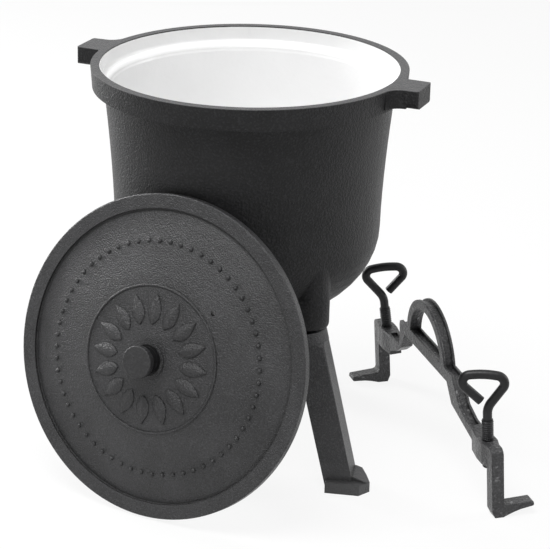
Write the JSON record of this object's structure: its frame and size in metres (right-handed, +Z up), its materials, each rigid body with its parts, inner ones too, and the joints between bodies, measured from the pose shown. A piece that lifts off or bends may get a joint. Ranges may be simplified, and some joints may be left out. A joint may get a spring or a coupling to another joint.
{
  "type": "enamelled cast iron pot",
  "caption": "Round cast iron pot with a white enamel lining and lug handles on screwed-in legs, its domed lid leaning on the wall and a lid clamp with bent-rod screws beside it.",
  "frame": {"origin": "on the pot's axis at the floor", "axes": "+Z up along the pot's axis, +X along the two lugs towards the one near the clamp, and the lid leans on the -Y side"},
  "size_m": [0.4727, 0.3982, 0.37],
  "materials": {
    "cast_iron": "matte black, sand-cast grain",
    "clamp_iron": "matte dark grey, cast grain",
    "enamel": "glossy white",
    "steel": "plain steel",
    "blackened_steel": "blackened, half gloss",
    "knob": "matte black"
  },
  "bodies": {
    "pot_and_clamp": {"pot_body": "cast_iron", "enamel_lining": "enamel", "leg_1": "cast_iron", "leg_2": "cast_iron", "leg_3": "cast_iron", "leg_stud_1": "steel", "leg_stud_2": "steel", "leg_stud_3": "steel", "lid": "cast_iron", "lid_knob": "knob", "knob_screw": "steel", "knob_washer": "blackened_steel", "clamp_yoke": "clamp_iron"},
    "near_screw": {"clamp_screw_1": "blackened_steel"},
    "far_screw": {"clamp_screw_2": "blackened_steel"}
  },
  "joints": [
    {"name": "near_screw_turn", "type": "hinge", "parent": "pot_and_clamp", "child": "near_screw", "pos_m": [0.25963, -0.05068, 0.06025], "axis": [-0.0543, -0.0438, 0.9976], "continuous": true},
    {"name": "far_screw_turn", "type": "hinge", "parent": "pot_and_clamp", "child": "far_screw", "pos_m": [0.08606, 0.16442, 0.06025], "axis": [-0.1083, -0.0874, 0.9903], "continuous": true}
  ]
}
